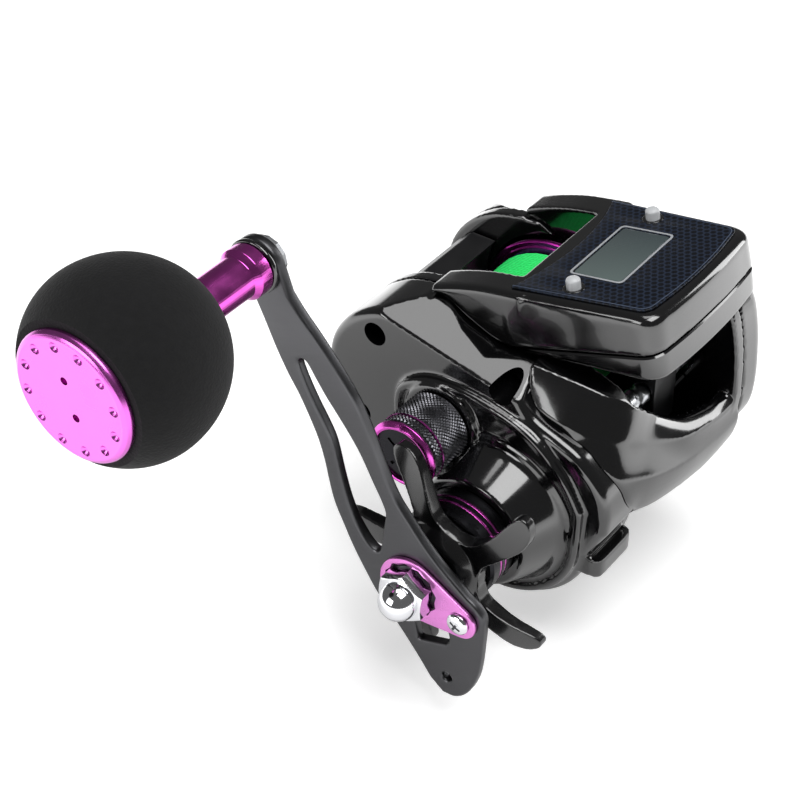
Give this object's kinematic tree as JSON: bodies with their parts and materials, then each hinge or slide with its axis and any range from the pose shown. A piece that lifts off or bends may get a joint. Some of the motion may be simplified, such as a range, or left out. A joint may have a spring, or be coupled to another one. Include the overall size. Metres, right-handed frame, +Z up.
{
  "type": "line counter fishing reel",
  "caption": "Low-profile baitcasting reel with a line counter housing over the level wind, a star drag and a single crank handle with a ball-shaped foam knob.",
  "frame": {"origin": "centre of the underside of the reel foot, straight below the middle of the spool", "axes": "+X to the palm side (left of a user looking forward along -Y is +X), -X to the handle, -Y to the front where the line leaves, +Z up from the rod seat to the counter"},
  "size_m": [0.1406, 0.0834, 0.1108],
  "materials": {
    "glossBlack": "gloss black moulded housing",
    "satinBlack": "satin black",
    "pinkMetal": "pink anodised, satin",
    "blackMetal": "black anodised, satin",
    "bareMetal": "machined steel",
    "chrome": "bright plating",
    "brass": "machined brass",
    "foam": "matte closed-cell foam",
    "labelFilm": "gloss printed film",
    "glass": "clear window over a grey-green display",
    "buttonResin": "light grey gloss",
    "lineGreen": "braided line, bright green",
    "boardGreen": "solder mask",
    "dragFibre": "pressed drag fibre"
  },
  "bodies": {
    "frame": {"main_frame": "glossBlack", "reel_foot": "satinBlack", "foot_screw_front": "bareMetal", "foot_screw_rear": "bareMetal", "gear_cover": "glossBlack", "cover_screw_rear": "blackMetal", "cover_screw_front": "blackMetal", "cover_screw_low": "blackMetal", "palm_cover": "glossBlack", "brake_plate": "bareMetal", "palm_bearing": "bareMetal", "frame_bearing": "bareMetal", "drive_bearing": "bareMetal", "one_way_clutch": "bareMetal", "guide_rod": "chrome", "counter_upper_shell": "glossBlack", "counter_lower_shell": "glossBlack", "counter_label": "labelFilm", "lcd_window": "glass", "lcd_module": "satinBlack", "circuit_board": "boardGreen", "coin_cell": "bareMetal", "counter_screw_near": "blackMetal", "counter_screw_far": "blackMetal"},
    "crank": {"handle_arm": "blackMetal", "retainer_plate": "pinkMetal", "retainer_screw": "chrome", "handle_nut": "chrome", "knob_boss": "blackMetal", "knob_post": "bareMetal", "drive_shaft": "bareMetal", "main_gear": "brass", "drag_washer": "dragFibre", "pressure_plate": "bareMetal", "clutch_sleeve": "bareMetal", "wind_drive_gear": "brass", "arm_spacer": "blackMetal"},
    "knob": {"knob_neck": "pinkMetal", "knob_grip": "foam", "knob_cap": "pinkMetal"},
    "star": {"drag_collar": "blackMetal", "star_drag": "satinBlack"},
    "spool_assembly": {"spool": "pinkMetal", "line_core": "lineGreen", "line_top_layer": "lineGreen", "spool_shaft": "bareMetal"},
    "clutch": {"clutch_yoke": "satinBlack"},
    "pinion_gear": {"pinion": "brass"},
    "thumb_rest": {"thumb_bar": "satinBlack"},
    "worm": {"worm_shaft": "chrome", "worm_gear": "satinBlack"},
    "idler": {"idler_gear": "satinBlack"},
    "carriage": {"line_guide": "satinBlack", "guide_ring": "brass"},
    "cast_control": {"cast_cap": "blackMetal", "cast_cap_ring": "pinkMetal"},
    "brake_control": {"brake_dial": "satinBlack"},
    "power_key": {"power_button": "buttonResin"},
    "reset_key": {"reset_button": "buttonResin"},
    "battery_door": {"battery_cap": "satinBlack"}
  },
  "joints": [
    {"name": "crank_spin", "type": "hinge", "parent": "frame", "child": "crank", "pos_m": [0, -0.01348, 0.00774], "axis": [-1, 0, 0], "continuous": true},
    {"name": "knob_spin", "type": "hinge", "parent": "crank", "child": "knob", "pos_m": [0, 0.02062, 0.07297], "axis": [-1, 0, 0], "continuous": true},
    {"name": "star_turn", "type": "hinge", "parent": "crank", "child": "star", "pos_m": [0, -0.01348, 0.00774], "axis": [-1, 0, 0], "range_deg": [-180, 180]},
    {"name": "spool_spin", "type": "hinge", "parent": "frame", "child": "spool_assembly", "pos_m": [0, 0, 0.025], "axis": [-1, 0, 0], "continuous": true},
    {"name": "thumb_press", "type": "slide", "parent": "frame", "child": "thumb_rest", "axis": [0, 0, -1], "range_m": [0, 0.004]},
    {"name": "clutch_slide", "type": "slide", "parent": "frame", "child": "clutch", "axis": [-1, 0, 0], "range_m": [0, 0.0015]},
    {"name": "pinion_spin", "type": "hinge", "parent": "clutch", "child": "pinion_gear", "pos_m": [0, 0, 0.025], "axis": [-1, 0, 0], "continuous": true},
    {"name": "worm_spin", "type": "hinge", "parent": "frame", "child": "worm", "pos_m": [0, -0.03026, 0.02872], "axis": [-1, 0, 0], "continuous": true},
    {"name": "idler_spin", "type": "hinge", "parent": "frame", "child": "idler", "pos_m": [0, -0.02088, 0.02165], "axis": [-1, 0, 0], "continuous": true},
    {"name": "guide_slide", "type": "slide", "parent": "frame", "child": "carriage", "axis": [1, 0, 0], "range_m": [-0.0085, 0.0085]},
    {"name": "cast_control_turn", "type": "hinge", "parent": "frame", "child": "cast_control", "pos_m": [0, 0, 0.025], "axis": [-1, 0, 0], "range_deg": [-180, 180]},
    {"name": "brake_dial_turn", "type": "hinge", "parent": "frame", "child": "brake_control", "pos_m": [0, 0, 0.025], "axis": [1, 0, 0], "range_deg": [0, 300]},
    {"name": "power_press", "type": "slide", "parent": "frame", "child": "power_key", "axis": [0, -0.1908, -0.9816], "range_m": [0, 0.0007], "stiffness_N_per_m": 1500, "springref_m": -0.0005},
    {"name": "reset_press", "type": "slide", "parent": "frame", "child": "reset_key", "axis": [0, -0.1908, -0.9816], "range_m": [0, 0.0007], "stiffness_N_per_m": 1500, "springref_m": -0.0005},
    {"name": "battery_door_turn", "type": "hinge", "parent": "frame", "child": "battery_door", "pos_m": [0, -0.0275, 0.0434], "axis": [0, 0.1908, 0.9816], "range_deg": [0, 60]}
  ],
  "couplings": [
    {"joint": "spool_spin", "follows": "crank_spin", "ratio": -6.3},
    {"joint": "pinion_spin", "follows": "crank_spin", "ratio": -6.3},
    {"joint": "worm_spin", "follows": "crank_spin", "ratio": 1.7143},
    {"joint": "idler_spin", "follows": "crank_spin", "ratio": -1.6},
    {"joint": "clutch_slide", "follows": "thumb_press", "ratio": 0.375}
  ]
}
